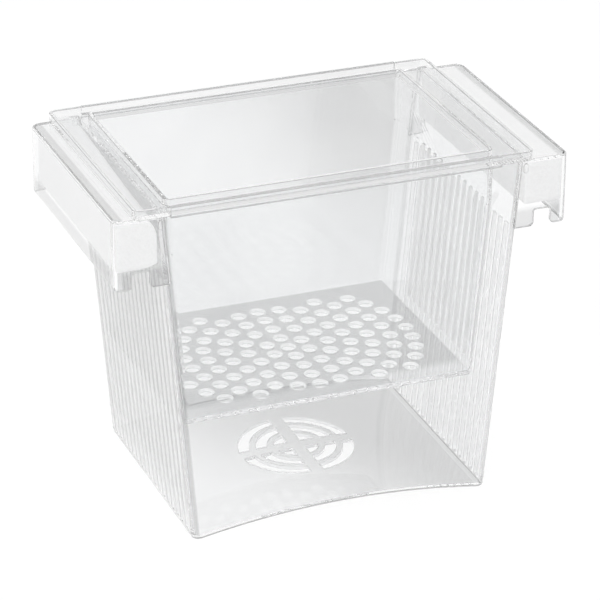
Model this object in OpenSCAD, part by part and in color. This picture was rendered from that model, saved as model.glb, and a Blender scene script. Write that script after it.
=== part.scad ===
// Floating fish breeding box: a clear outer tank with two float pockets, a clear
// slotted basket that hangs in it, and two foam floats. Millimetres, +Z up.
// Origin: middle of the base, on the surface that the tank stands on.

/* [Tank] */
// Half length of the tank at its base
tank_foot_x = 67; // [50:0.5:80]
// Half length of the tank at its top
tank_top_x = 80.6; // [66:0.2:95]
// Half depth of the tank, front to back
tank_half_y = 53.7; // [40:0.1:70]
// Height of the tank up to its rim
tank_h = 152; // [130:1:190]
// Thickness of the tank's walls and floor
tank_wall = 1.8; // [1.2:0.1:2.6]
// Outer radius of the tank's upright corners
tank_corner_r = 3; // [2:0.5:6]
// Rise of the arched floor at the middle
arch_rise = 5.5; // [3:0.5:10]
// Width of each flat strip that the tank stands on
foot_strip = 4; // [2:0.5:8]

/* [Tank side slots] */
// Slots in each side wall of the tank
tank_slots = 17; // [9:2:19]
// Spacing of the tank's side slots
tank_slot_pitch = 5.7; // [4.4:0.1:6]
// Width of each tank side slot
tank_slot_w = 2.6; // [1.5:0.1:3.2]
// Height of the slots' lower ends above the tank floor
tank_slot_rise = 0.6; // [0.4:0.1:8]

/* [Floor grille] */
// Radius of the round grille in the tank floor
grille_r = 25.5; // [20:0.5:32]
// Width of each ring-shaped slot of the grille
grille_slot = 4.8; // [3:0.2:6]
// Width of the rings left standing between the slots
grille_land = 3; // [2:0.2:4]
// Width of the cross that splits the grille
grille_spoke = 6; // [3:0.5:9]

/* [Float pockets] */
// Half length over both pockets
pocket_x = 100.2; // [92:0.2:120]
// How far the pockets stand proud of the tank's front and back
pocket_step = 1.1; // [0.5:0.1:1.8]
// Overlap of each pocket's end walls on the tank's corners
pocket_lap = 2; // [1.8:0.1:3]
// Height of each pocket's skirt above the base, at its lower edge
pocket_z = 121.2; // [105:0.2:124]
// Thickness of the pocket walls
pocket_wall = 1.6; // [1.2:0.1:2.2]
// Outer radius of the pocket's corners
pocket_corner_r = 3.6; // [2.4:0.2:5]
// Width of the notch in each end of the skirt
notch_w = 7.4; // [5:0.2:10]
// Height of the notch in each end of the skirt
notch_h = 7.2; // [3:0.2:8]
// Radius of the notch's inner corners
notch_r = 0.8; // [0.4:0.1:2]
// Width of the foot between each notch and the pocket's outer face
foot_w = 7.8; // [6:0.2:9]
// Radius of the feet's lower corners
foot_r = 2; // [1:0.1:2.4]

/* [Floats] */
// Height of the left foam float
left_float_h = 21.6; // [14:0.2:22]
// Height of the right foam float
right_float_h = 19.6; // [14:0.2:22]
// Length by which the left float falls short of its pocket's back
left_float_short = 6.4; // [0:0.2:20]
// Gap between a float and the pocket walls
float_gap = 0.3; // [0.2:0.05:0.5]

/* [Basket] */
// Height of the underside of the basket floor above the base
basket_z = 54; // [40:1:70]
// Thickness of the basket's walls and floor
basket_wall = 1.8; // [1.2:0.1:2.4]
// Outer radius of the basket's upright corners
basket_corner_r = 3; // [2:0.5:5]
// Height above the base at which the side walls turn upright
basket_fold_z = 132; // [122:1:140]
// Space beside the basket on each side when it hangs in the middle
side_play = 4.5; // [2:0.1:6]
// Space in front of the basket and behind it
depth_play = 2.4; // [1:0.1:4]
// Gap left on the side that the basket is pushed towards
side_touch = 0.3; // [0.3:0.1:1.5]

/* [Basket rim] */
// Length of each wing beyond the basket's opening
wing_l = 15.1; // [12:0.1:20]
// Overhang of the rim beyond the tank's front and back
rim_over = 2.9; // [1.5:0.1:5]
// Thickness of the rim plate and the wings
rim_plate = 1.6; // [1.2:0.1:2.4]
// Height of the raised lips above the tank's rim
lip_h = 4.2; // [3:0.1:6]
// Width of the raised lip around the rim
lip_w = 1.5; // [1:0.1:2.5]
// Extra thickness of the front and back lips beside the opening
lip_step = 0.8; // [0.4:0.1:1.2]
// Depth that the front and back lips hang below the tank's rim
lip_drop = 0.6; // [0.2:0.1:1.5]

/* [Basket slots] */
// Slots in each side wall of the basket
basket_slots = 11; // [6:1:13]
// Spacing of the basket's side slots
basket_slot_pitch = 6; // [5:0.1:6.2]
// Width of each basket side slot
basket_slot_w = 2.3; // [1.5:0.1:3]
// Distance from the basket's front to the middle of the first slot
basket_slot_front = 8.5; // [6:0.5:14]
// Height of the slots' lower ends above the basket floor
basket_slot_rise = 4; // [2:0.5:10]

/* [Basket floor holes] */
// Diameter of each hole in the basket floor
hole_d = 6.3; // [3:0.1:7]
// Spacing of the rings of holes
ring_pitch = 9.2; // [8:0.1:10]
// Rings of holes around the middle hole
hole_rings = 6; // [3:1:6]
// Plain border left between the holes and the floor's long edges
hole_border = 8; // [5:0.5:12]

/* [Hidden] */
skin = 0.01;
past = 5;
curve_fn = 48;
corner_fn = 32;
clear_plastic = [0.86, 0.9, 0.92, 0.35];
foam_white = [0.96, 0.96, 0.95];

tank_slope = (tank_top_x - tank_foot_x) / tank_h;
wall_run = tank_wall * sqrt(1 + tank_slope * tank_slope);
arch_half = tank_foot_x - foot_strip;
arch_r = (arch_half * arch_half + arch_rise * arch_rise) / (2 * arch_rise);
arch_axis_z = arch_rise - arch_r;
tank_slot_z = tank_wall + tank_slot_rise;
tank_slot_top = pocket_z - 0.4;

ceiling_z = tank_h - pocket_wall;
pocket_half_y = tank_half_y + pocket_step;
pocket_in_x = pocket_x - pocket_wall;
pocket_in_y = pocket_half_y - pocket_wall;
pocket_in_r = pocket_corner_r - pocket_wall;
notch_out_x = pocket_x - foot_w;
notch_in_x = notch_out_x - notch_w;
pip_w = 2.2;
pip_h = 4.4;
pip_proud = 0.4;
pip_z = ceiling_z - pip_h / 2;

float_in_x = tank_top_x + float_gap;
float_out_x = pocket_in_x - float_gap;
float_half_y = pocket_in_y - float_gap;

basket_shift = side_touch - side_play;
basket_half_y = tank_half_y - tank_wall - depth_play;
basket_foot_x = tank_inner_x(basket_z) - side_play;
basket_top_x = tank_inner_x(basket_fold_z) - side_play;
basket_slope = (basket_top_x - basket_foot_x) / (basket_fold_z - basket_z);
lip_z = tank_h + lip_h;
rim_x = basket_top_x + wing_l;
rim_y = tank_half_y + rim_over;
basket_slot_y = basket_slot_front - basket_half_y;
basket_slot_z = basket_z + basket_wall + basket_slot_rise;

// Outer half length of the tank at a height
function tank_x(z) = tank_foot_x + tank_slope * z;
// Inner half length of the tank at a height
function tank_inner_x(z) = tank_x(z) - wall_run;
// Outer half length of the sloping part of the basket at a height
function basket_x(z) = basket_foot_x + basket_slope * (z - basket_z);

// Upright plate with round corners, centred on X and Y
module rounded_plate(half_x, half_y, r, z0, z1) {
    translate([0, 0, z0])
        linear_extrude(z1 - z0) {
            square([2 * (half_x - r), 2 * half_y], center = true);
            square([2 * half_x, 2 * (half_y - r)], center = true);
            for (sx = [-1, 1], sy = [-1, 1])
                translate([sx * (half_x - r), sy * (half_y - r)])
                    circle(r, $fn = curve_fn);
        }
}

// Block whose two ends slope, with round upright corners
module sloped_block(x0, x1, half_y, r, z0, z1) {
    hull()
        for (sx = [-1, 1], sy = [-1, 1]) {
            translate([sx * (x0 - r), sy * (half_y - r), z0])
                cylinder(r = r, h = skin, $fn = corner_fn);
            translate([sx * (x1 - r), sy * (half_y - r), z1 - skin])
                cylinder(r = r, h = skin, $fn = corner_fn);
        }
}

// Long round-ended shape in the XY plane, centred
module round_ended(length, width) {
    square([length - width, width], center = true);
    for (s = [-1, 1])
        translate([s * (length - width) / 2, 0])
            circle(width / 2, $fn = curve_fn);
}

// Cylinder along Y under the arched floor
module arch(r) {
    translate([0, 0, arch_axis_z])
        rotate([90, 0, 0])
            cylinder(r = r, h = 2 * (tank_half_y + past), center = true, $fn = 360);
}

// Space inside the tank, above its arched floor
module tank_space() {
    difference() {
        sloped_block(tank_inner_x(tank_wall), tank_inner_x(tank_h + past),
            tank_half_y - tank_wall, tank_corner_r - tank_wall, tank_wall, tank_h + past);
        arch(arch_r + tank_wall);
    }
}

// Ring-shaped grille slot between two radii
module ring_slot(r_out, r_in) {
    difference() {
        cylinder(r = r_out, h = 2 * arch_rise + 2 * past, $fn = curve_fn * 2);
        if (r_in > 0)
            translate([0, 0, -past])
                cylinder(r = r_in, h = 2 * arch_rise + 4 * past, $fn = curve_fn * 2);
    }
}

// Grille: two ring-shaped slots and a round middle, split by a cross
module grille_cut() {
    pitch = grille_slot + grille_land;
    span = 2 * (grille_r + past);
    difference() {
        translate([0, 0, -past])
            union() {
                ring_slot(grille_r, grille_r - grille_slot);
                ring_slot(grille_r - pitch, grille_r - pitch - grille_slot);
                ring_slot(grille_r - 2 * pitch, 0);
            }
        translate([-span / 2, -grille_spoke / 2, -2 * past])
            cube([span, grille_spoke, 6 * past]);
        translate([-grille_spoke / 2, -span / 2, -2 * past])
            cube([grille_spoke, span, 6 * past]);
    }
}

// Rows of upright slots through both side walls of the tank
module tank_slot_cut() {
    first_y = -(tank_slots - 1) / 2 * tank_slot_pitch - tank_slot_w / 2;
    depth = tank_top_x - tank_foot_x + 4 * tank_wall;
    for (side = [0, 1], i = [0 : tank_slots - 1])
        mirror([side, 0, 0])
            translate([tank_foot_x - 3 * tank_wall, first_y + i * tank_slot_pitch, tank_slot_z])
                cube([depth, tank_slot_w, tank_slot_top - tank_slot_z]);
}

// Rounded lower corner of a foot, as the sliver that is cut away beside X
module foot_sliver(x, side) {
    translate([x, pocket_z])
        difference() {
            translate([side < 0 ? -foot_r : 0, -past])
                square([foot_r, foot_r + past]);
            translate([side * foot_r, foot_r])
                circle(foot_r, $fn = curve_fn);
        }
}

// End of a pocket seen from the front: two round feet with a notch between them
module pocket_profile() {
    low_x = tank_x(pocket_z) - pocket_lap;
    high_x = tank_top_x - pocket_lap;
    difference() {
        polygon([[low_x, pocket_z], [pocket_x, pocket_z], [pocket_x, tank_h], [high_x, tank_h]]);
        translate([notch_in_x, pocket_z - past])
            square([notch_w, notch_h - notch_r + past]);
        translate([notch_in_x + notch_r, pocket_z])
            square([notch_w - 2 * notch_r, notch_h]);
        for (x = [notch_in_x + notch_r, notch_out_x - notch_r])
            translate([x, pocket_z + notch_h - notch_r])
                circle(notch_r, $fn = curve_fn);
        foot_sliver(notch_in_x, -1);
        foot_sliver(notch_out_x, 1);
        foot_sliver(pocket_x, -1);
    }
}

// Outer shape of one pocket, on the +X side
module pocket_block() {
    intersection() {
        rotate([90, 0, 0])
            linear_extrude(2 * (pocket_half_y + past), center = true)
                pocket_profile();
        rounded_plate(pocket_x, pocket_half_y, pocket_corner_r, pocket_z - past, tank_h);
    }
}

// Hollow of the pockets, open below
module pocket_space() {
    rounded_plate(pocket_in_x, pocket_in_y, pocket_in_r, pocket_z - past, ceiling_z);
}

// Small raised pip on each end of a pocket, beside the tank's corner
module pocket_pips() {
    for (s = [-1, 1])
        translate([tank_x(pip_z), s * (pocket_half_y - pip_proud), pip_z])
            rotate([90, 0, 0])
                linear_extrude(4 * pip_proud, center = true)
                    rotate(90)
                        round_ended(pip_h, pip_w);
}

module tank_body() {
    sloped_block(tank_foot_x, tank_top_x, tank_half_y, tank_corner_r, 0, tank_h);
}

module tank() {
    color(clear_plastic)
        difference() {
            union() {
                tank_body();
                for (side = [0, 1])
                    mirror([side, 0, 0]) {
                        difference() {
                            pocket_block();
                            pocket_space();
                        }
                        pocket_pips();
                    }
            }
            tank_space();
            arch(arch_r);
            grille_cut();
            tank_slot_cut();
        }
}

// Round holes in the basket floor, in rings around its middle
module floor_holes() {
    limit_y = basket_half_y - hole_border;
    translate([0, 0, basket_z - past]) {
        cylinder(d = hole_d, h = basket_wall + 2 * past, $fn = curve_fn);
        for (ring = [1 : hole_rings], k = [0 : 6 * ring - 1]) {
            angle = 90 + 60 * k / ring;
            x = ring * ring_pitch * cos(angle);
            y = ring * ring_pitch * sin(angle);
            if (abs(y) <= limit_y)
                translate([x, y, 0])
                    cylinder(d = hole_d, h = basket_wall + 2 * past, $fn = curve_fn);
        }
    }
}

// Rows of upright slots through both side walls of the basket
module basket_slot_cut() {
    depth = basket_top_x - basket_foot_x + 4 * basket_wall;
    for (side = [0, 1], i = [0 : basket_slots - 1])
        mirror([side, 0, 0])
            translate([basket_foot_x - 3 * basket_wall,
                    basket_slot_y + i * basket_slot_pitch - basket_slot_w / 2, basket_slot_z])
                cube([depth, basket_slot_w, basket_fold_z - basket_slot_z]);
}

// Plate, wings and raised lips around the basket's opening
module basket_rim() {
    rounded_plate(rim_x, rim_y, basket_corner_r, tank_h, tank_h + rim_plate);
    difference() {
        rounded_plate(rim_x, rim_y, basket_corner_r, tank_h, lip_z);
        rounded_plate(rim_x - lip_w, rim_y - lip_w, basket_corner_r - lip_w,
            tank_h - past, lip_z + past);
    }
    for (s = [-1, 1])
        translate([-basket_top_x, s * (rim_y - lip_w / 2 + lip_step / 2)
                - (lip_w + lip_step) / 2, tank_h - lip_drop])
            cube([2 * basket_top_x, lip_w + lip_step, lip_h + lip_drop]);
}

module basket() {
    in_y = basket_half_y - basket_wall;
    in_r = basket_corner_r - basket_wall;
    floor_z = basket_z + basket_wall;
    color(clear_plastic)
        translate([basket_shift, 0, 0])
            difference() {
                union() {
                    sloped_block(basket_foot_x, basket_top_x, basket_half_y,
                        basket_corner_r, basket_z, basket_fold_z);
                    rounded_plate(basket_top_x, basket_half_y, basket_corner_r,
                        basket_fold_z - skin, lip_z);
                    basket_rim();
                }
                sloped_block(basket_x(floor_z) - basket_wall, basket_top_x - basket_wall,
                    in_y, in_r, floor_z, basket_fold_z);
                rounded_plate(basket_top_x - basket_wall, in_y, in_r,
                    basket_fold_z - skin, lip_z + past);
                floor_holes();
                basket_slot_cut();
            }
}

// Foam block in the pocket on the +X side, cut short at its back
module foam_float(height, short) {
    half_x = (float_out_x - float_in_x) / 2;
    color(foam_white)
        translate([float_in_x + half_x, -short / 2, 0])
            rounded_plate(half_x, float_half_y - short / 2, pocket_in_r,
                ceiling_z - height, ceiling_z);
}

module float_left() {
    mirror([1, 0, 0])
        foam_float(left_float_h, left_float_short);
}

module float_right() {
    foam_float(right_float_h, 0);
}

tank();
basket();
float_left();
float_right();
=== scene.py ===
"""Floating fish breeding box: a clear tank with two float pockets, a clear slotted
basket that hangs in it and two foam floats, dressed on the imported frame."""

import math

import bmesh
import bpy
from mathutils import Matrix, Vector, noise


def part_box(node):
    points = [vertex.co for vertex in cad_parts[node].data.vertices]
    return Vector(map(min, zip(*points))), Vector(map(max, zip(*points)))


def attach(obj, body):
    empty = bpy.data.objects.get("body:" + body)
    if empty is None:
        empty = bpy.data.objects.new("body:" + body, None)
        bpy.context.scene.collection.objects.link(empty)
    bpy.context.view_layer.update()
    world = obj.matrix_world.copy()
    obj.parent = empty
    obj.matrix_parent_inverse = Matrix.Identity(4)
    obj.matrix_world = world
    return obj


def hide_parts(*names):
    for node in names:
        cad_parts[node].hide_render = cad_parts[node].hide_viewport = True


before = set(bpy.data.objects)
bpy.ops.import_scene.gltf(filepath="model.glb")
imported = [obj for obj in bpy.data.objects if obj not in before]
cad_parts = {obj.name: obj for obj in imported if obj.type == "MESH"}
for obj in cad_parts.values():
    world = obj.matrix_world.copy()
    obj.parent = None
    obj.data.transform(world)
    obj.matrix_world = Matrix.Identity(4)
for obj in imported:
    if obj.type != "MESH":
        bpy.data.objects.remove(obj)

bl_info = {
    "name": "Fish Breeding Box",
    "version": (1, 0, 0),
    "blender": (4, 5, 0),
    "location": "View3D > Sidebar > Breeding Box",
    "description": "Builds a clear floating breeding box for aquarium fish, with its stage",
    "category": "Add Mesh",
}

MM = 0.001

# Angles between faces: below LEVEL they are one wall, above SHARP the edge is a corner.
LEVEL = math.radians(0.05)
SHARP = math.radians(50)

# Gaps that count as none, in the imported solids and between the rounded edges, and the
# width below which a face is a cut edge or a strip.
CLEAN_GAP = 0.02 * MM
WELD_GAP = 0.001 * MM
NARROW = 2.6 * MM

# Marks that a face's material index carries while its solid is being rounded.
STRIP = 30
FLAT = 100

# How far a face's normal lies along an axis: exactly, mostly, leaning or not at all.
# A strip lies across two axes where its second largest part is above ACROSS.
EXACT = 0.99999
FACING = 0.9
LEANING = 0.7
ACROSS = 0.6
NOT_AT_ALL = 0.0005

# A fade carries painted shade: its direction, then where along it the fade starts and ends,
# in metres. NO_FADE starts far outside the part.
NO_FADE = ((1.0, 0.0, 0.0), 1.0, 2.0)
PANEL_SHADE_FADE = ((0.8, 0.0, 0.6), 0.055, 0.135)
FLOOR_SHADE_FADE = ((0.85, 0.5, 0.0), -0.055, 0.035)
LEFT_SIDE_SHADE_FADE = ((0.0, 0.0, 1.0), 0.004, 0.024)
SKIRT_SHADE_FADE = ((0.0, 0.0, -1.0), -0.131, -0.1275)
LEFT_POCKET_SHADE_FADE = ((-1.0, 0.0, 0.0), 0.0950, 0.0962)
RIGHT_POCKET_SHADE_FADE = ((1.0, 0.0, 0.0), 0.0950, 0.0962)
BASKET_FLOOR_SHADE_FADE = ((0.0, -1.0, 0.0), 0.034, 0.042)

# The finish of each zone of a piece. The shares darken the piece's tint into painted
# shade, at the fade's start and at its end. Clarity 1 is clear, and less is milkier, which
# paints light and shade lines. Only the clear zone is the plain plastic.
TANK_FINISHES = {
    "clear": dict(name="Tank Clear Plastic"),
    # Painted shade: the back wall darkens towards the right and the top.
    "panel": dict(name="Tank Back Panel Painted Shade Plastic", share=0.97, end_share=0.86, fade=PANEL_SHADE_FADE),
    # Painted shade: the floor darkens towards the right and the back.
    "floor": dict(name="Tank Floor Painted Shade Plastic", share=0.97, end_share=0.7, fade=FLOOR_SHADE_FADE),
    # Painted shade: down-facing cut edges and rounded strips darkened and milky, as dark
    # outlines.
    "edge": dict(name="Tank Edge Painted Shade Plastic", share=0.5, clarity=0.35),
    # Painted shade: the left side wall darkens upwards from its foot.
    "side": dict(name="Tank Left Side Painted Shade Plastic", end_share=0.7, fade=LEFT_SIDE_SHADE_FADE),
    # Painted shade: the pocket skirts darken below the floats, under 127.5 mm.
    "skirt": dict(name="Pocket Skirt Painted Shade Plastic", end_share=0.8, fade=SKIRT_SHADE_FADE),
    # Painted shade: darker lines along the corners and the pocket tops' rounded edges.
    "corner": dict(name="Tank Corner Painted Shade Plastic", share=0.74),
    # Painted light and shade: the slot sides made milky, to read as light and dark lines; their
    # rounded edges darkened.
    "jamb": dict(name="Tank Jamb Painted Lines Plastic", clarity=0.45),
    "slot edge": dict(name="Tank Slot Edge Painted Shade Plastic", share=0.74, clarity=0.3),
    # Painted shade: a dark band along the outer edge of each pocket's top.
    "left pocket": dict(name="Left Pocket Top Painted Shade Plastic", end_share=0.78, fade=LEFT_POCKET_SHADE_FADE),
    "right pocket": dict(name="Right Pocket Top Painted Shade Plastic", end_share=0.78, fade=RIGHT_POCKET_SHADE_FADE),
    # Painted highlight: milky plastic that lights up the grille's cut edges and rounded edges.
    "painted highlight edge": dict(name="Tank Painted Highlight Edge Plastic", clarity=0.4),
    # Painted highlight: a milky light line along the floor's front and back edges.
    "base edge": dict(name="Tank Base Edge Painted Highlight Plastic", clarity=0.1),
}
BASKET_FINISHES = {
    "clear": dict(name="Basket Clear Plastic"),
    # Painted shade: the back wall darkens towards the right and the top.
    "panel": dict(name="Basket Back Panel Painted Shade Plastic", share=0.97, end_share=0.86, fade=PANEL_SHADE_FADE),
    # Painted shade: the basket's floor darkened, lighter along its front band.
    "floor": dict(
        name="Basket Floor Painted Shade Plastic", share=0.68, end_share=0.93, fade=BASKET_FLOOR_SHADE_FADE
    ),
    # Painted shade: down-facing cut edges and rounded strips darkened and milky, as dark
    # outlines.
    "edge": dict(name="Basket Edge Painted Shade Plastic", share=0.5, clarity=0.35),
    # Painted shade: the basket's rims and cut edges a little darker.
    "rim": dict(name="Basket Rim Painted Shade Plastic", share=0.96),
    # Painted shade: the slots' rounded edges darkened and milky, as dark lines.
    "slot edge": dict(name="Basket Slot Edge Painted Shade Plastic", share=0.92, clarity=0.3),
    # Painted highlight: milky plastic that lights up the holes' walls, the slot bottoms and
    # rounded edges.
    "painted highlight edge": dict(name="Basket Painted Highlight Edge Plastic", clarity=0.4),
    # Painted shade: the slot sides darkened and milky, as dark lines.
    "jamb": dict(name="Basket Jamb Painted Shade Plastic", share=0.78, clarity=0.3),
}

# Where the zones lie, in millimetres from the middle of the part and from its foot.
# The look range is how far down the strips look that carry the base edge's painted highlight.
TANK_SLOTS = dict(inner_x=64, outer_x=81.5, half_y=49, low_z=2, high_z=121)
TANK_FLOOR_TOP = 10
TANK_GRILLE_RADIUS = 40
TANK_SIDE_TOP = 100
TANK_SIDE_X = 81
TANK_PANEL_X = 78
TANK_BASE_TOP = 9
TANK_BASE_Y = 51
BASE_HIGHLIGHT_LOOK = (-0.9, -0.5)
BASE_EDGE_TOP = 7
BASE_EDGE_Y = 50
POCKET_TOP = 151
POCKET_TOP_EDGE = 151.9
POCKET_X = 80
SKIRT_FOOT_TOP = 130
SKIRT_FOOT_X = 82
BASKET_SLOTS = dict(inner_x=58, outer_x=82, half_y=47, low_z=56.5, high_z=132)
BASKET_FLOOR_LOW = 53
BASKET_FLOOR_TOP = 56.5
BASKET_HOLES_X = 58
BASKET_HOLES_Y = 45
HOLE_EDGE_TOP = 57
HOLE_EDGE_Y = 44
HOLE_EDGE_LENGTH = 1
SAME_LEVEL = 0.1

# The basket's wings rest on the pockets. Their undersides stay a hair clear of them,
# so that two faces of plastic never share one plane.
WING_REST = 152 * MM
WING_GAP = 0.08 * MM

POCKET_TOP_ROUNDING = 0.9 * MM
SKIRT_ROUNDING = 0.45 * MM
HOLE_ROUNDING = 0.45 * MM

# Foam: its cells along x, y and z. In millimetres: how far the worn side is pressed in,
# down and up, how far from the back the wear starts, and the depth of the dents.
# WEAR_SHARE is the share of the float's length over which the wear grows, and WORN_SIDE
# the share of its width, from the middle, beyond which a point lies on the worn side.
FOAM_CELLS = (4, 22, 5)
WEAR_INWARD = 2.8
WEAR_DOWN = 1.4
WEAR_UP = 1.8
WEAR_START = 8
WEAR_SHARE = 0.8
WORN_SIDE = 0.49
FOAM_DENT = 0.12
FOAM_DENTS_PER_METRE = 60
FOAM_CORNER = 1.0

# Light that has bounced this often inside the plastic goes straight on.
TRAPPED_BOUNCES = 16.0

# Studio, in metres, watts and shares of white.
STUDIO_HALF = 6.0
FLOOR_GREY = 0.75
FLOOR_GLOW = 0.26
OVERHEAD_GREY = 0.8
LIGHT_BOUNCES = 48
CLEAR_BOUNCES = 32
LAMP_AIM = (0, 0, 0.08)

# Each lamp's name, place, size and power.
LAMPS = (
    ("Key_Lamp", (-1.0, -0.9, 1.4), 1.0, 6.0),
    ("Top_Lamp", (0.5, 0.3, 1.7), 1.0, 4.0),
    ("Front_Lamp", (-0.7, -1.8, 0.7), 1.2, 3.6),
)

# Camera: lens and sensor in millimetres, the rest in degrees and metres.
CAMERA_LENS = 197.35
CAMERA_SENSOR = 36.0
CAMERA_AZIMUTH = math.radians(-21.80)
CAMERA_ELEVATION = math.radians(25.61)
CAMERA_ROLL = math.radians(0.39)
CAMERA_DISTANCE = 1.4065
CAMERA_CLIP = (0.05, 50.0)
CAMERA_TARGET = Vector((-0.9, -6.6, 79.9)) * MM


# ---------------------------------------------------------------- shader helpers


def add_node(tree, kind, x=0, y=0, **values):
    """Adds a shader node and sets its plain properties and input values."""
    node = tree.nodes.new(kind)
    node.location = (x, y)
    for name, value in values.items():
        if hasattr(node, name):
            setattr(node, name, value)
        else:
            node.inputs[name.replace("_", " ")].default_value = value
    return node


def new_group(name, inputs, outputs):
    """Makes a shader node group with named sockets, or returns the one that is there."""
    old = bpy.data.node_groups.get(name)
    if old:
        return old, None, None
    tree = bpy.data.node_groups.new(name, "ShaderNodeTree")
    for socket_name, socket_type, default in inputs:
        socket = tree.interface.new_socket(socket_name, in_out="INPUT", socket_type=socket_type)
        socket.default_value = default
    for socket_name, socket_type in outputs:
        tree.interface.new_socket(socket_name, in_out="OUTPUT", socket_type=socket_type)
    group_in = add_node(tree, "NodeGroupInput", -900)
    group_out = add_node(tree, "NodeGroupOutput", 600)
    return tree, group_in, group_out


def use_group(tree, group, x=0, y=0, **values):
    """Places a node group in a material and sets its inputs."""
    node = add_node(tree, "ShaderNodeGroup", x, y)
    node.node_tree = group
    for name, value in values.items():
        node.inputs[name.replace("_", " ")].default_value = value
    return node


def moulding_group():
    """Slow waves, fine scratches and smudges that moulded clear plastic shows, and the fade that
    carries painted shade.
    """
    tree, group_in, group_out = new_group(
        "Moulded Surface",
        [
            ("Wave Size", "NodeSocketFloat", 40.0),
            ("Scratch Size", "NodeSocketFloat", 220.0),
            ("Fade Direction", "NodeSocketVector", (1.0, 0.0, 0.0)),
            ("Fade Start", "NodeSocketFloat", 0.0),
            ("Fade End", "NodeSocketFloat", 1.0),
        ],
        [
            ("Fade", "NodeSocketFloat"),
            ("Smudge", "NodeSocketFloat"),
            ("Scratch", "NodeSocketFloat"),
            ("Height", "NodeSocketFloat"),
        ],
    )
    if group_in is None:
        return tree
    link = tree.links.new
    coords = add_node(tree, "ShaderNodeTexCoord", -1200)
    wave = add_node(tree, "ShaderNodeTexNoise", -600, 200, Detail=2.0, Roughness=0.45)
    link(coords.outputs["Object"], wave.inputs["Vector"])
    link(group_in.outputs["Wave Size"], wave.inputs["Scale"])
    stretch = add_node(tree, "ShaderNodeMapping", -800, -100, Scale=(1.0, 1.0, 0.12))
    stretch.inputs["Rotation"].default_value = (0.5, 0.3, 0.2)
    link(coords.outputs["Object"], stretch.inputs["Vector"])
    scratch = add_node(tree, "ShaderNodeTexNoise", -600, -100, Detail=3.0, Roughness=0.6)
    link(stretch.outputs["Vector"], scratch.inputs["Vector"])
    link(group_in.outputs["Scratch Size"], scratch.inputs["Scale"])
    scratch_mask = add_node(
        tree, "ShaderNodeMapRange", -300, -100, From_Min=0.62, From_Max=0.74
    )
    link(scratch.outputs["Fac"], scratch_mask.inputs["Value"])
    smudge = add_node(tree, "ShaderNodeTexNoise", -600, -400, Scale=28.0, Detail=4.0)
    link(coords.outputs["Object"], smudge.inputs["Vector"])
    smudge_mask = add_node(
        tree, "ShaderNodeMapRange", -300, -400, From_Min=0.42, From_Max=0.72
    )
    link(smudge.outputs["Fac"], smudge_mask.inputs["Value"])
    along = add_node(tree, "ShaderNodeVectorMath", -600, -700, operation="DOT_PRODUCT")
    link(coords.outputs["Object"], along.inputs[0])
    link(group_in.outputs["Fade Direction"], along.inputs[1])
    fade = add_node(tree, "ShaderNodeMapRange", -300, -700, interpolation_type="SMOOTHSTEP")
    link(along.outputs["Value"], fade.inputs["Value"])
    link(group_in.outputs["Fade Start"], fade.inputs["From Min"])
    link(group_in.outputs["Fade End"], fade.inputs["From Max"])
    link(fade.outputs["Result"], group_out.inputs["Fade"])
    link(smudge_mask.outputs["Result"], group_out.inputs["Smudge"])
    link(scratch_mask.outputs["Result"], group_out.inputs["Scratch"])
    link(wave.outputs["Fac"], group_out.inputs["Height"])
    return tree


def shade(colour, share):
    """A colour darkened to a share of itself."""
    return tuple(share * channel for channel in colour)


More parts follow.
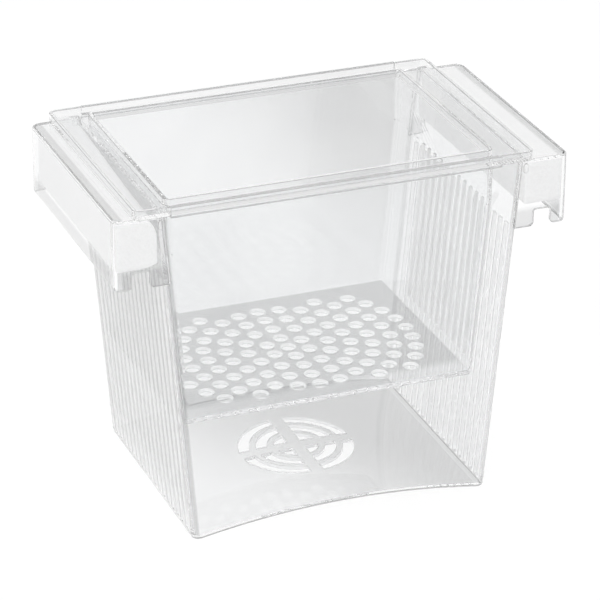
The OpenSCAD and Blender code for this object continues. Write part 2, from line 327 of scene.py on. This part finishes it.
def clear_plastic(tint, name, share=1.0, end_share=1.0, fade=NO_FADE, clarity=1.0):
    """Clear moulded plastic: faint tint darkened by painted shade along a fade, slow waves,
    smudges, fine scratches; less clarity makes it milky, for painted lines.
    """
    old = bpy.data.materials.get(name)
    if old:
        return old
    mat = bpy.data.materials.new(name)
    mat.use_nodes = True
    tree = mat.node_tree
    tree.nodes.clear()
    link = tree.links.new
    direction, start, end = fade
    surface = use_group(
        tree,
        moulding_group(),
        -900,
        0,
        Wave_Size=30.0,
        Scratch_Size=240.0,
        Fade_Direction=direction,
        Fade_Start=start,
        Fade_End=end,
    )
    # Painted shade: the tint darkened to its two shares along the fade.
    painted_shade_tone = add_node(tree, "ShaderNodeMix", -700, 300, data_type="RGBA")
    painted_shade_tone.inputs["A"].default_value = (*shade(tint, share), 1.0)
    painted_shade_tone.inputs["B"].default_value = (*shade(tint, end_share), 1.0)
    link(surface.outputs["Fade"], painted_shade_tone.inputs["Factor"])
    haze = add_node(tree, "ShaderNodeMapRange", -700, 100, To_Max=0.5)
    link(surface.outputs["Smudge"], haze.inputs["Value"])
    colour = add_node(tree, "ShaderNodeMix", -450, 200, data_type="RGBA", blend_type="MULTIPLY")
    colour.inputs["B"].default_value = (0.965, 0.965, 0.968, 1.0)
    link(haze.outputs["Result"], colour.inputs["Factor"])
    link(painted_shade_tone.outputs["Result"], colour.inputs["A"])
    rough = add_node(tree, "ShaderNodeMapRange", -500, -50, To_Min=0.015, To_Max=0.07)
    link(surface.outputs["Scratch"], rough.inputs["Value"])
    bump = add_node(tree, "ShaderNodeBump", -500, -300, Strength=0.06, Distance=0.0006)
    link(surface.outputs["Height"], bump.inputs["Height"])
    plastic = add_node(tree, "ShaderNodeBsdfPrincipled", -100, 100, IOR=1.49)
    # Less clarity makes the plastic milky, which paints light and shade lines on edges.
    plastic.inputs["Transmission Weight"].default_value = clarity
    link(colour.outputs["Result"], plastic.inputs["Base Color"])
    link(rough.outputs["Result"], plastic.inputs["Roughness"])
    link(bump.outputs["Normal"], plastic.inputs["Normal"])
    see_through = add_node(tree, "ShaderNodeBsdfTransparent", -100, -300)
    see_through.inputs["Color"].default_value = (0.985, 0.985, 0.985, 1.0)
    rays = add_node(tree, "ShaderNodeLightPath", -500, 600)
    soft_light = add_node(tree, "ShaderNodeMath", -300, 600, operation="MAXIMUM")
    link(rays.outputs["Is Shadow Ray"], soft_light.inputs[0])
    link(rays.outputs["Is Diffuse Ray"], soft_light.inputs[1])
    trapped = add_node(tree, "ShaderNodeMath", -300, 450, operation="GREATER_THAN")
    trapped.inputs[1].default_value = TRAPPED_BOUNCES
    link(rays.outputs["Ray Depth"], trapped.inputs[0])
    straight = add_node(tree, "ShaderNodeMath", -100, 500, operation="MAXIMUM")
    link(soft_light.outputs["Value"], straight.inputs[0])
    link(trapped.outputs["Value"], straight.inputs[1])
    both = add_node(tree, "ShaderNodeMixShader", 250, 100)
    link(straight.outputs["Value"], both.inputs["Fac"])
    link(plastic.outputs["BSDF"], both.inputs[1])
    link(see_through.outputs["BSDF"], both.inputs[2])
    out = add_node(tree, "ShaderNodeOutputMaterial", 500, 100)
    link(both.outputs["Shader"], out.inputs["Surface"])
    return mat


def foam(name, colour, pore_colour):
    """Closed-cell foam, cut by a hot wire: fine pores and a soft skin."""
    old = bpy.data.materials.get(name)
    if old:
        return old
    mat = bpy.data.materials.new(name)
    mat.use_nodes = True
    tree = mat.node_tree
    tree.nodes.clear()
    link = tree.links.new
    coords = add_node(tree, "ShaderNodeTexCoord", -1200)
    cells = add_node(tree, "ShaderNodeTexVoronoi", -900, 100, Scale=900.0)
    link(coords.outputs["Object"], cells.inputs["Vector"])
    soft = add_node(tree, "ShaderNodeTexNoise", -900, -200, Scale=70.0, Detail=3.0)
    link(coords.outputs["Object"], soft.inputs["Vector"])
    pore = add_node(tree, "ShaderNodeMapRange", -650, 100, From_Min=0.0, From_Max=0.6)
    link(cells.outputs["Distance"], pore.inputs["Value"])
    mix = add_node(tree, "ShaderNodeMix", -400, 200, data_type="RGBA")
    mix.inputs["A"].default_value = (*pore_colour, 1.0)
    mix.inputs["B"].default_value = (*colour, 1.0)
    link(pore.outputs["Result"], mix.inputs["Factor"])
    height = add_node(tree, "ShaderNodeMath", -400, -100, operation="ADD")
    link(pore.outputs["Result"], height.inputs[0])
    link(soft.outputs["Fac"], height.inputs[1])
    bump = add_node(tree, "ShaderNodeBump", -200, -150, Strength=0.25, Distance=0.0003)
    link(height.outputs["Value"], bump.inputs["Height"])
    body = add_node(
        tree, "ShaderNodeBsdfPrincipled", 0, 100, Roughness=0.85, Sheen_Weight=0.15
    )
    link(mix.outputs["Result"], body.inputs["Base Color"])
    link(bump.outputs["Normal"], body.inputs["Normal"])
    out = add_node(tree, "ShaderNodeOutputMaterial", 300, 100)
    link(body.outputs["BSDF"], out.inputs["Surface"])
    return mat


# ---------------------------------------------------------------- mesh helpers


def piece_from(name, shape, materials):
    """Turns a shape into an object of the scene, with its materials."""
    mesh = bpy.data.meshes.new(name)
    shape.to_mesh(mesh)
    shape.free()
    for material in materials:
        mesh.materials.append(material)
    piece = bpy.data.objects.new(name, mesh)
    bpy.context.scene.collection.objects.link(piece)
    return piece


def is_narrow(face):
    """True for the cut edge of a wall, a rib's side or a strip of a round corner."""
    return face.calc_area() / max(edge.calc_length() for edge in face.edges) < NARROW


def is_flat(face):
    """True for a flat wall or cut, false for a strip of a curved surface."""
    normal = face.normal
    level = max(abs(part) for part in normal) > EXACT
    sloping_side = abs(normal.x) > FACING and abs(normal.y) < NOT_AT_ALL
    arched = abs(normal.z) > FACING
    return level or sloping_side or not (arched or is_narrow(face))


def round_over(shape, edges, rounding, steps=2):
    """Rounds these edges of a triangulated solid and marks the new strips."""
    bmesh.ops.bevel(
        shape,
        geom=edges,
        offset=rounding,
        offset_type="OFFSET",
        segments=steps,
        profile=0.5,
        affect="EDGES",
        clamp_overlap=False,
        loop_slide=False,
        material=STRIP,
    )
    many_sided = [face for face in shape.faces if len(face.verts) > 4]
    bmesh.ops.triangulate(shape, faces=many_sided)


def even_triangles(shape):
    """Splits every face into triangles, with no needles across a flat wall."""
    bmesh.ops.triangulate(shape, faces=shape.faces)
    inside = [
        edge
        for edge in shape.edges
        if edge.is_manifold
        and edge.calc_face_angle() < LEVEL
        and edge.link_faces[0].material_index == edge.link_faces[1].material_index
    ]
    bmesh.ops.beautify_fill(shape, faces=shape.faces, edges=inside)


def is_outer(edge):
    """True for a sharp edge of a solid that points outwards."""
    return edge.is_manifold and edge.is_convex and edge.calc_face_angle() > SHARP


def outer_edges(shape):
    """The edges marked as sharp that no rounding has taken yet."""
    return [edge for edge in shape.edges if edge.seam and is_outer(edge)]


def moulded_shape(node, zones, zone_of, strip_zone_of, rounding, wide_roundings):
    """Copies a node's solid with its edges rounded, and gives each face its zone."""
    shape = bmesh.new()
    shape.from_mesh(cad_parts[node].data)
    bmesh.ops.remove_doubles(shape, verts=shape.verts, dist=CLEAN_GAP)
    bmesh.ops.dissolve_degenerate(shape, dist=CLEAN_GAP, edges=shape.edges)
    bmesh.ops.dissolve_limit(shape, angle_limit=LEVEL, verts=shape.verts, edges=shape.edges)
    for face in shape.faces:
        face.material_index = zones.index(zone_of(face)) + (FLAT if is_flat(face) else 0)
    for edge in shape.edges:
        edge.seam = is_outer(edge)
    even_triangles(shape)
    for is_wide, wide_rounding in wide_roundings:
        edges = [edge for edge in outer_edges(shape) if is_wide(edge)]
        round_over(shape, edges, wide_rounding, steps=3)
    round_over(shape, outer_edges(shape), rounding)
    bmesh.ops.remove_doubles(shape, verts=shape.verts, dist=WELD_GAP)
    bmesh.ops.dissolve_degenerate(shape, dist=WELD_GAP, edges=shape.edges)
    bmesh.ops.triangulate(shape, faces=[face for face in shape.faces if len(face.verts) > 4])
    for edge in shape.edges:
        strips = [face.material_index == STRIP for face in edge.link_faces]
        edge.smooth = all(strips) or not any(strips)
        if edge.calc_face_angle(0) > SHARP:
            edge.smooth = False
    for face in shape.faces:
        face.smooth = face.material_index < FLAT
        face.material_index %= FLAT
        if face.material_index == STRIP:
            face.material_index = zones.index(strip_zone_of(face))
    return shape


def foam_block(low, high, rounding, worn_side=0):
    """Cut block of foam with rounded edges, worn towards its front on one side."""
    shape = bmesh.new()
    bmesh.ops.create_cube(shape, size=1.0)
    size = high - low
    middle = (high + low) / 2
    for vert in shape.verts:
        vert.co = middle + Vector(vert.co[axis] * size[axis] for axis in range(3))
    for axis, cells in enumerate(FOAM_CELLS):
        for step in range(1, cells):
            place = low.copy()
            place[axis] += size[axis] * step / cells
            normal = Vector((0.0, 0.0, 0.0))
            normal[axis] = 1.0
            bmesh.ops.bisect_plane(
                shape,
                geom=shape.verts[:] + shape.edges[:] + shape.faces[:],
                plane_co=place,
                plane_no=normal,
            )
    worn_length = WEAR_SHARE * size.y
    for vert in shape.verts:
        beside = worn_side * (vert.co.x - middle.x) > WORN_SIDE * size.x
        forward = min(max((high.y - WEAR_START * MM - vert.co.y) / worn_length, 0.0), 1.0)
        if beside and vert.co.z > high.z - SAME_LEVEL * MM:
            inward = -WEAR_INWARD * worn_side * forward
            vert.co += Vector((inward, 0.0, -WEAR_DOWN * forward**2)) * MM
        if beside and vert.co.z < low.z + SAME_LEVEL * MM:
            vert.co.z += WEAR_UP * MM * forward
    edges = [edge for edge in shape.edges if edge.calc_face_angle(0) > FOAM_CORNER]
    bmesh.ops.bevel(
        shape, geom=edges, offset=rounding, segments=2, profile=0.5, affect="EDGES"
    )
    for vert in shape.verts:
        slow = noise.noise(vert.co * FOAM_DENTS_PER_METRE)
        inward = (middle - vert.co).normalized()
        vert.co += inward * (FOAM_DENT + FOAM_DENT * slow) * MM
    for face in shape.faces:
        face.smooth = True
    return shape


# ---------------------------------------------------------------- settings


class BreedingBoxSettings(bpy.types.PropertyGroup):
    """Colours and edge roundings of the breeding box."""

    tank_tint: bpy.props.FloatVectorProperty(
        name="Tank Tint",
        description="Colour that the tank's clear plastic lets through",
        subtype="COLOR",
        size=3,
        min=0.0,
        max=1.0,
        default=(0.975, 0.978, 0.98),
    )
    basket_tint: bpy.props.FloatVectorProperty(
        name="Basket Tint",
        description="Colour that the basket's clear plastic lets through",
        subtype="COLOR",
        size=3,
        min=0.0,
        max=1.0,
        default=(0.975, 0.978, 0.98),
    )
    foam_colour: bpy.props.FloatVectorProperty(
        name="Foam Colour",
        description="Colour of the foam floats",
        subtype="COLOR",
        size=3,
        min=0.0,
        max=1.0,
        default=(0.95, 0.95, 0.95),
    )
    edge_rounding: bpy.props.FloatProperty(
        name="Edge Rounding",
        description="Radius of the moulded edges of the tank and the basket",
        unit="LENGTH",
        min=0.00005,
        max=0.0004,
        precision=5,
        default=0.00025,
    )
    base_rounding: bpy.props.FloatProperty(
        name="Base Rounding",
        description="Radius of the tank floor's front and back edges",
        unit="LENGTH",
        min=0.0005,
        max=0.002,
        precision=4,
        default=0.0015,
    )
    foam_rounding: bpy.props.FloatProperty(
        name="Foam Rounding",
        description="Radius of the foam floats' edges",
        unit="LENGTH",
        min=0.0002,
        max=0.003,
        precision=4,
        default=0.0008,
    )


# ---------------------------------------------------------------- stage


def place_camera():
    """Long-lens camera, above and to the left of the box's front."""
    lens = bpy.data.cameras.new("Camera")
    lens.lens = CAMERA_LENS
    lens.sensor_width = CAMERA_SENSOR
    lens.clip_start, lens.clip_end = CAMERA_CLIP
    camera = bpy.data.objects.new("Camera", lens)
    back = Vector(
        (
            math.sin(CAMERA_AZIMUTH) * math.cos(CAMERA_ELEVATION),
            -math.cos(CAMERA_AZIMUTH) * math.cos(CAMERA_ELEVATION),
            math.sin(CAMERA_ELEVATION),
        )
    )
    right = (-back).cross(Vector((0, 0, 1))).normalized()
    up = right.cross(-back)
    rolled_right = right * math.cos(CAMERA_ROLL) + up * math.sin(CAMERA_ROLL)
    rolled_up = up * math.cos(CAMERA_ROLL) - right * math.sin(CAMERA_ROLL)
    turn = Matrix((rolled_right, rolled_up, back)).transposed().to_4x4()
    camera.matrix_world = Matrix.Translation(CAMERA_TARGET + back * CAMERA_DISTANCE) @ turn
    bpy.context.scene.collection.objects.link(camera)
    bpy.context.scene.camera = camera


def soft_box(name, place, size, power):
    """Square studio lamp that points at the part."""
    data = bpy.data.lights.new(name, "AREA")
    data.shape = "RECTANGLE"
    data.size = size
    data.size_y = size
    data.energy = power
    lamp = bpy.data.objects.new(name, data)
    direction = Vector(LAMP_AIM) - Vector(place)
    turn = direction.to_track_quat("-Z", "Y").to_matrix().to_4x4()
    lamp.matrix_world = Matrix.Translation(place) @ turn
    bpy.context.scene.collection.objects.link(lamp)


def studio_world():
    """Pale studio: white for what is seen, a softer grey overhead for light."""
    world = bpy.data.worlds.new("Studio")
    bpy.context.scene.world = world
    world.use_nodes = True
    tree = world.node_tree
    tree.nodes.clear()
    link = tree.links.new
    coords = add_node(tree, "ShaderNodeTexCoord", -900)
    split = add_node(tree, "ShaderNodeSeparateXYZ", -700)
    link(coords.outputs["Generated"], split.inputs["Vector"])
    ramp = add_node(tree, "ShaderNodeValToRGB", -450)
    ramp.color_ramp.elements[0].position = 0.0
    ramp.color_ramp.elements[0].color = (1.0, 1.0, 1.0, 1.0)
    ramp.color_ramp.elements[1].position = 0.9
    overhead = (OVERHEAD_GREY, OVERHEAD_GREY, OVERHEAD_GREY, 1.0)
    ramp.color_ramp.elements[1].color = overhead
    ramp.color_ramp.elements.new(0.3).color = overhead
    link(split.outputs["Z"], ramp.inputs["Fac"])
    rays = add_node(tree, "ShaderNodeLightPath", -450, 300)
    seen = add_node(tree, "ShaderNodeBackground", -100, 200)
    seen.inputs["Color"].default_value = (1.0, 1.0, 1.0, 1.0)
    light = add_node(tree, "ShaderNodeBackground", -100, 0)
    link(ramp.outputs["Color"], light.inputs["Color"])
    both = add_node(tree, "ShaderNodeMixShader", 150, 100)
    link(rays.outputs["Is Camera Ray"], both.inputs["Fac"])
    link(light.outputs["Background"], both.inputs[1])
    link(seen.outputs["Background"], both.inputs[2])
    out = add_node(tree, "ShaderNodeOutputWorld", 400, 100)
    link(both.outputs["Shader"], out.inputs["Surface"])


def floor_material():
    """Pale floor that reads white to the eye and in plastic, and keeps a shadow."""
    mat = bpy.data.materials.new("Studio Floor")
    mat.use_nodes = True
    tree = mat.node_tree
    tree.nodes.clear()
    link = tree.links.new
    matte = add_node(tree, "ShaderNodeBsdfDiffuse", -300, 0)
    matte.inputs["Color"].default_value = (FLOOR_GREY, FLOOR_GREY, FLOOR_GREY, 1.0)
    rays = add_node(tree, "ShaderNodeLightPath", -900, 300)
    seen = add_node(tree, "ShaderNodeMath", -650, 300, operation="MAXIMUM")
    link(rays.outputs["Is Camera Ray"], seen.inputs[0])
    link(rays.outputs["Is Glossy Ray"], seen.inputs[1])
    seen_in_plastic = add_node(tree, "ShaderNodeMath", -450, 300, operation="MAXIMUM")
    link(seen.outputs["Value"], seen_in_plastic.inputs[0])
    link(rays.outputs["Is Transmission Ray"], seen_in_plastic.inputs[1])
    scaled = add_node(tree, "ShaderNodeMath", -280, 300, operation="MULTIPLY")
    scaled.inputs[1].default_value = FLOOR_GLOW
    link(seen_in_plastic.outputs["Value"], scaled.inputs[0])
    glow = add_node(tree, "ShaderNodeEmission", -100, 200)
    glow.inputs["Color"].default_value = (1.0, 1.0, 1.0, 1.0)
    link(scaled.outputs["Value"], glow.inputs["Strength"])
    both = add_node(tree, "ShaderNodeAddShader", 100, 100)
    link(glow.outputs["Emission"], both.inputs[0])
    link(matte.outputs["BSDF"], both.inputs[1])
    out = add_node(tree, "ShaderNodeOutputMaterial", 300, 100)
    link(both.outputs["Shader"], out.inputs["Surface"])
    return mat


class BREEDINGBOX_OT_stage(bpy.types.Operator):
    """Lay a pale floor and set the lamps, the world and the camera"""

    bl_idname = "breedingbox.stage"
    bl_label = "Stage"

    def execute(self, context):
        scene = context.scene
        scene.view_settings.view_transform = "Standard"
        scene.cycles.max_bounces = LIGHT_BOUNCES
        scene.cycles.transmission_bounces = LIGHT_BOUNCES
        scene.cycles.glossy_bounces = LIGHT_BOUNCES
        scene.cycles.transparent_max_bounces = CLEAR_BOUNCES
        mesh = bpy.data.meshes.new("Studio_Floor")
        half = STUDIO_HALF
        corners = [(-half, -half, 0), (half, -half, 0), (half, half, 0), (-half, half, 0)]
        mesh.from_pydata(corners, [], [(0, 1, 2, 3)])
        mesh.materials.append(floor_material())
        floor = bpy.data.objects.new("Studio_Floor", mesh)
        scene.collection.objects.link(floor)
        studio_world()
        for lamp in LAMPS:
            soft_box(*lamp)
        place_camera()
        return {"FINISHED"}


# ---------------------------------------------------------------- pieces


def middle_of(face):
    """A face's middle, in millimetres."""
    return face.calc_center_median() / MM


def ends_of(edge):
    """An edge's two ends, in millimetres."""
    return [vert.co / MM for vert in edge.verts]


def is_across(face):
    """True for a strip that faces between two axes, as a rounded edge does."""
    return sorted(abs(part) for part in face.normal)[1] > ACROSS


def in_slots(place, inner_x, outer_x, half_y, low_z, high_z):
    """True where a place lies among the slots of either side wall."""
    beside = inner_x < abs(place.x) < outer_x
    return beside and abs(place.y) < half_y and low_z < place.z < high_z


def in_grille(place):
    """True where a place lies in the round grille of the tank's floor."""
    return place.z < TANK_FLOOR_TOP and math.hypot(place.x, place.y) < TANK_GRILLE_RADIUS


def in_basket_floor(place):
    """True where a place lies inside the basket floor's thickness."""
    return BASKET_FLOOR_LOW < place.z < BASKET_FLOOR_TOP and abs(place.y) < BASKET_HOLES_Y


def narrow_tank_zone(face):
    """Names the zone of a cut edge, a slot's side or a corner strip of the tank."""
    middle = middle_of(face)
    if in_grille(middle):
        return "painted highlight edge"
    if in_slots(middle, **TANK_SLOTS):
        return "jamb"
    if face.normal.z < -LEANING:
        return "edge"
    return "clear" if abs(middle.x) > TANK_SIDE_X else "corner"


def tank_zone(face):
    """Names the zone of one of the tank's faces."""
    middle = middle_of(face)
    side, front, up = (abs(part) for part in face.normal)
    if middle.z < TANK_FLOOR_TOP and up > LEANING:
        return "floor"
    on_slotted_wall = in_slots(middle, **TANK_SLOTS) and side > FACING
    if is_narrow(face) and not on_slotted_wall:
        return narrow_tank_zone(face)
    # Painted shade along the outer edge of each pocket's top.
    if up > LEANING and abs(middle.x) > TANK_SIDE_X:
        return "left pocket" if middle.x < 0 else "right pocket"
    # Painted shade on the left side wall only; the right one stays clear.
    if side > FACING and middle.z < TANK_SIDE_TOP and abs(middle.x) < TANK_SIDE_X:
        return "side" if middle.x < 0 else "clear"
    # Painted shade on the back wall only; the front wall stays clear.
    if front > FACING and abs(middle.x) < TANK_PANEL_X:
        return "panel" if middle.y > 0 else "clear"
    return "skirt"


def tank_strip_zone(face):
    """Names the zone of a strip along one of the tank's rounded edges."""
    middle = middle_of(face)
    if in_slots(middle, **TANK_SLOTS) or in_grille(middle):
        return "slot edge"
    if middle.z < TANK_BASE_TOP and abs(middle.y) > TANK_BASE_Y:
        # Painted highlight on the middle strips, painted shade on the outer ones.
        lowest, highest = BASE_HIGHLIGHT_LOOK
        return "base edge" if lowest < face.normal.z < highest else "edge"
    if is_across(face):
        return "painted highlight edge"
    return "corner" if middle.z > POCKET_TOP and abs(middle.x) > POCKET_X else "edge"


def is_base_edge(edge):
    """True for the tank floor's front and back edge."""
    return all(end.z < BASE_EDGE_TOP and abs(end.y) > BASE_EDGE_Y for end in ends_of(edge))


def is_pocket_top(edge):
    """True for an edge on top of a float pocket."""
    return all(end.z > POCKET_TOP_EDGE and abs(end.x) > POCKET_X for end in ends_of(edge))


def is_skirt_foot(edge):
    """True for an edge along the foot of a float pocket."""
    return all(end.z < SKIRT_FOOT_TOP and abs(end.x) > SKIRT_FOOT_X for end in ends_of(edge))


class BREEDINGBOX_OT_tank(bpy.types.Operator):
    """Give the tank its clear plastic, with painted shade and highlights in its zones"""

    bl_idname = "breedingbox.tank"
    bl_label = "Tank"

    def execute(self, context):
        settings = context.scene.breeding_box
        finishes = [
            clear_plastic(settings.tank_tint, **finish) for finish in TANK_FINISHES.values()
        ]
        wide_roundings = [
            (is_base_edge, settings.base_rounding),
            (is_pocket_top, POCKET_TOP_ROUNDING),
            (is_skirt_foot, SKIRT_ROUNDING),
        ]
        shape = moulded_shape(
            "tank",
            list(TANK_FINISHES),
            tank_zone,
            tank_strip_zone,
            settings.edge_rounding,
            wide_roundings,
        )
        tank = piece_from("Clear_Tank", shape, finishes)
        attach(tank, "tank_body")
        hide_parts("tank")
        return {"FINISHED"}


def basket_zone(face):
    """Names the zone of one of the basket's faces."""
    middle = middle_of(face)
    normal = face.normal
    among_slots = in_slots(middle, **BASKET_SLOTS)
    if middle.z < BASKET_FLOOR_TOP and abs(normal.z) > FACING:
        return "floor"
    if in_basket_floor(middle) and abs(middle.x) < BASKET_HOLES_X:
        return "painted highlight edge"
    if among_slots and normal.z > LEANING:
        return "painted highlight edge"
    if among_slots and abs(normal.y) > FACING:
        return "jamb"
    if BASKET_FLOOR_LOW < middle.z < BASKET_FLOOR_TOP or normal.z > LEANING:
        return "clear"
    if is_narrow(face):
        return "edge" if normal.z < -LEANING else "rim"
    # Painted shade on the back wall only; the front wall stays clear.
    return "panel" if abs(normal.y) > FACING and middle.y > 0 else "clear"


def basket_strip_zone(face):
    """Names the zone of a strip along one of the basket's rounded edges."""
    middle = middle_of(face)
    if in_slots(middle, **BASKET_SLOTS):
        return "slot edge"
    if in_basket_floor(middle):
        return "painted highlight edge" if face.normal.z > 0 else "floor"
    return "painted highlight edge" if is_across(face) else "edge"


def is_hole_edge(edge):
    """True for a short edge of a round hole, on either face of the basket's floor."""
    first, last = ends_of(edge)
    level = abs(first.z - last.z) < SAME_LEVEL
    in_floor = BASKET_FLOOR_LOW < first.z < HOLE_EDGE_TOP
    among_holes = max(abs(first.y), abs(last.y)) < HOLE_EDGE_Y
    return level and in_floor and among_holes and edge.calc_length() < HOLE_EDGE_LENGTH * MM


class BREEDINGBOX_OT_basket(bpy.types.Operator):
    """Give the basket its clear plastic, with painted shade and highlights in its zones"""

    bl_idname = "breedingbox.basket"
    bl_label = "Basket"

    def execute(self, context):
        settings = context.scene.breeding_box
        finishes = [
            clear_plastic(settings.basket_tint, **finish) for finish in BASKET_FINISHES.values()
        ]
        shape = moulded_shape(
            "basket",
            list(BASKET_FINISHES),
            basket_zone,
            basket_strip_zone,
            settings.edge_rounding,
            [(is_hole_edge, HOLE_ROUNDING)],
        )
        for vert in shape.verts:
            if abs(vert.co.z - WING_REST) < CLEAN_GAP:
                vert.co.z += WING_GAP
        basket = piece_from("Clear_Basket", shape, finishes)
        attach(basket, "basket_body")
        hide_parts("basket")
        return {"FINISHED"}


class BREEDINGBOX_OT_floats(bpy.types.Operator):
    """Give both floats their foam"""

    bl_idname = "breedingbox.floats"
    bl_label = "Foam Floats"

    def execute(self, context):
        settings = context.scene.breeding_box
        colour = settings.foam_colour
        finish = foam("Float Foam", colour, shade(colour, 0.94))
        for node, worn_side in (("float_left", 1), ("float_right", 0)):
            low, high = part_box(node)
            shape = foam_block(Vector(low), Vector(high), settings.foam_rounding, worn_side)
            block = piece_from(node.title() + "_Foam", shape, [finish])
            soften = block.modifiers.new("Soft Edges", "SUBSURF")
            soften.levels = soften.render_levels = 1
            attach(block, node + "_body")
            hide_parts(node)
        return {"FINISHED"}


class BREEDINGBOX_PT_panel(bpy.types.Panel):
    """Lists the pieces of the breeding box"""

    bl_label = "Breeding Box"
    bl_idname = "BREEDINGBOX_PT_panel"
    bl_space_type = "VIEW_3D"
    bl_region_type = "UI"
    bl_category = "Breeding Box"

    def draw(self, context):
        settings = context.scene.breeding_box
        for name in BreedingBoxSettings.__annotations__:
            self.layout.prop(settings, name)
        for operator in OPERATORS:
            self.layout.operator(operator.bl_idname)


OPERATORS = (
    BREEDINGBOX_OT_stage,
    BREEDINGBOX_OT_tank,
    BREEDINGBOX_OT_basket,
    BREEDINGBOX_OT_floats,
)
CLASSES = (BreedingBoxSettings, *OPERATORS, BREEDINGBOX_PT_panel)


def register():
    """Adds the settings, the operators and the panel."""
    for cls in CLASSES:
        bpy.utils.register_class(cls)
    bpy.types.Scene.breeding_box = bpy.props.PointerProperty(type=BreedingBoxSettings)


def unregister():
    """Takes away what register added."""
    del bpy.types.Scene.breeding_box
    for cls in reversed(CLASSES):
        bpy.utils.unregister_class(cls)


def main():
    """Builds the stage and every piece."""
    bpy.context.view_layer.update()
    register()
    bpy.ops.breedingbox.stage()
    bpy.ops.breedingbox.tank()
    bpy.ops.breedingbox.basket()
    bpy.ops.breedingbox.floats()


if __name__ == "__main__":
    main()
